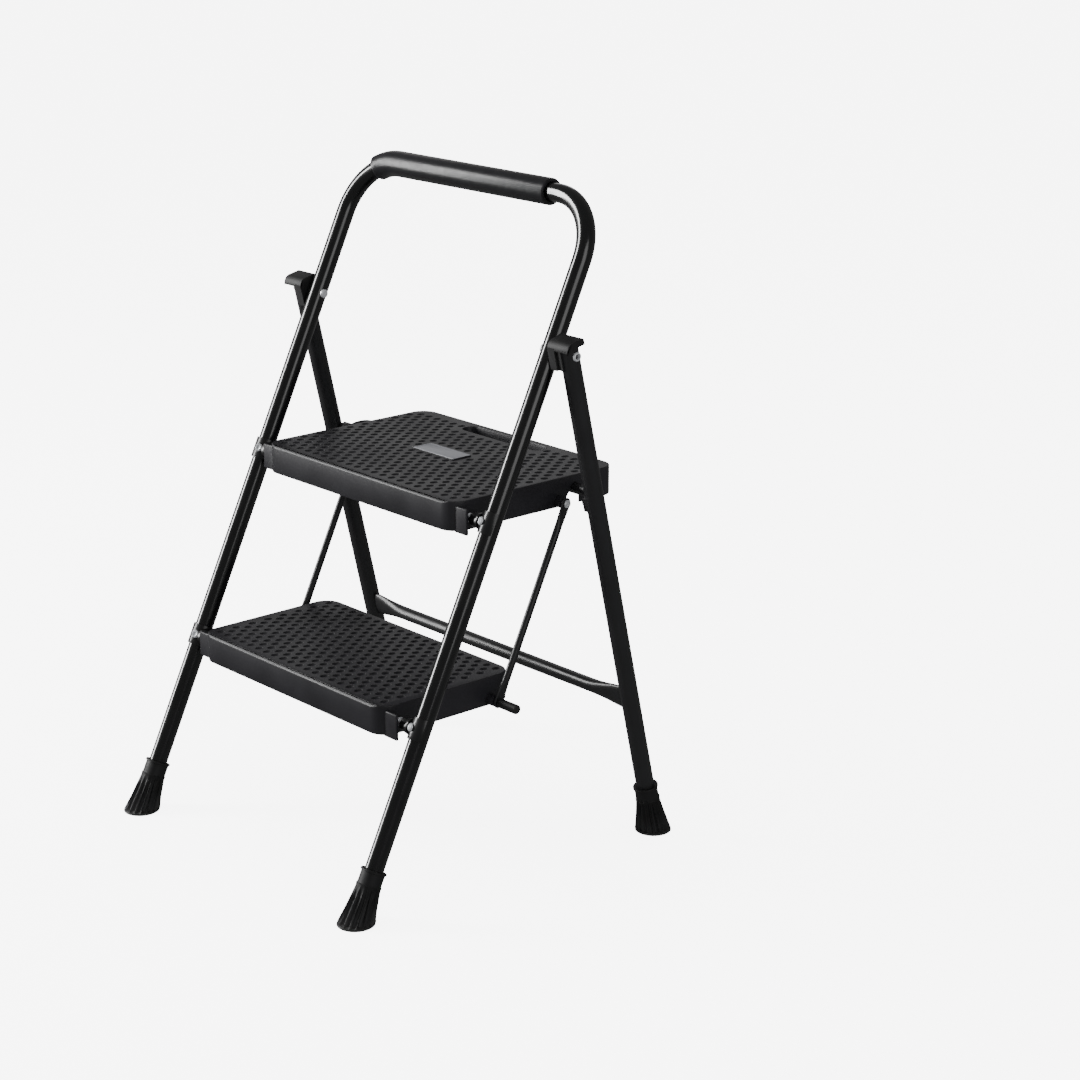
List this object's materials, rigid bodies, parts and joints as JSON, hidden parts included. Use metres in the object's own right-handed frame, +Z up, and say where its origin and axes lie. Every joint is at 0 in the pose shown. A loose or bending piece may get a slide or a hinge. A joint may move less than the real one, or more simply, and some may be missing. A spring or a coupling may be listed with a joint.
{
  "type": "step stool",
  "caption": "Folding step stool with two moulded treads, a bent tube frame with a padded handrail, hinged rear legs and link bars that fold the treads flat.",
  "frame": {"origin": "centre of the bounding box at the floor, midway between the four feet", "axes": "+Z up along the tallest extent, +X to the user's right across the mirror-symmetric frame, -Y towards the user who climbs it"},
  "size_m": [0.6108, 0.538, 0.8898],
  "materials": {
    "front_paint": "glossy black powder coat",
    "rear_paint": "satin black powder coat",
    "strap_paint": "satin black paint on pressed steel",
    "link_paint": "satin black paint on thin steel tube",
    "grip_foam": "closed-cell foam, matte",
    "foot_rubber": "moulded rubber, matte",
    "tread_plastic": "moulded charcoal polypropylene with a fine grain",
    "badge_plastic": "smooth satin plastic",
    "cap_plastic": "moulded nylon, satin",
    "zinc": "bright zinc plate"
  },
  "bodies": {
    "front_frame": {"front_frame_tube": "front_paint", "handle_grip": "grip_foam", "front_foot_left": "foot_rubber", "front_foot_right": "foot_rubber", "upper_hinge_strap_left": "strap_paint", "upper_hinge_strap_right": "strap_paint", "lower_hinge_strap_left": "strap_paint", "lower_hinge_strap_right": "strap_paint", "upper_strap_rivet_left": "zinc", "upper_strap_rivet_right": "zinc", "lower_strap_rivet_left": "zinc", "lower_strap_rivet_right": "zinc", "upper_hinge_pin_left": "zinc", "upper_hinge_pin_right": "zinc", "lower_hinge_pin_left": "zinc", "lower_hinge_pin_right": "zinc"},
    "rear_frame": {"rear_leg_left": "rear_paint", "rear_leg_right": "rear_paint", "hinge_cap_left": "cap_plastic", "hinge_cap_right": "cap_plastic", "pivot_rivet_left": "zinc", "pivot_rivet_right": "zinc", "upper_crossbar": "rear_paint", "lower_crossbar": "rear_paint", "rear_foot_left": "foot_rubber", "rear_foot_right": "foot_rubber"},
    "upper_step": {"upper_tread": "tread_plastic", "badge_plate": "badge_plastic", "link_rivet_left": "zinc", "link_rivet_right": "zinc"},
    "lower_step": {"lower_tread": "tread_plastic", "rear_rod": "link_paint", "rod_sleeve_left": "cap_plastic", "rod_sleeve_right": "cap_plastic"},
    "link_left": {"link_bar_left": "link_paint"},
    "link_right": {"link_bar_right": "link_paint"}
  },
  "joints": [
    {"name": "upper_step_fold", "type": "hinge", "parent": "front_frame", "child": "upper_step", "pos_m": [0, -0.01815, 0.4828], "axis": [1, 0, 0], "range_deg": [0, 58.8]},
    {"name": "lower_step_fold", "type": "hinge", "parent": "front_frame", "child": "lower_step", "pos_m": [0, -0.13654, 0.23459], "axis": [1, 0, 0], "range_deg": [0, 58.8]},
    {"name": "rear_frame_fold", "type": "hinge", "parent": "front_frame", "child": "rear_frame", "pos_m": [0, 0.08577, 0.69138], "axis": [1, 0, 0], "range_deg": [-35.4, 0]},
    {"name": "link_left_swing", "type": "hinge", "parent": "upper_step", "child": "link_left", "pos_m": [0, 0.13685, 0.4734], "axis": [1, 0, 0], "range_deg": [-58.8, 0]},
    {"name": "link_right_swing", "type": "hinge", "parent": "upper_step", "child": "link_right", "pos_m": [0, 0.13685, 0.4734], "axis": [1, 0, 0], "range_deg": [-58.8, 0]}
  ],
  "couplings": [
    {"joint": "lower_step_fold", "follows": "upper_step_fold", "ratio": 1},
    {"joint": "rear_frame_fold", "follows": "upper_step_fold", "ratio": -0.60204},
    {"joint": "link_left_swing", "follows": "upper_step_fold", "ratio": -1},
    {"joint": "link_right_swing", "follows": "upper_step_fold", "ratio": -1}
  ]
}
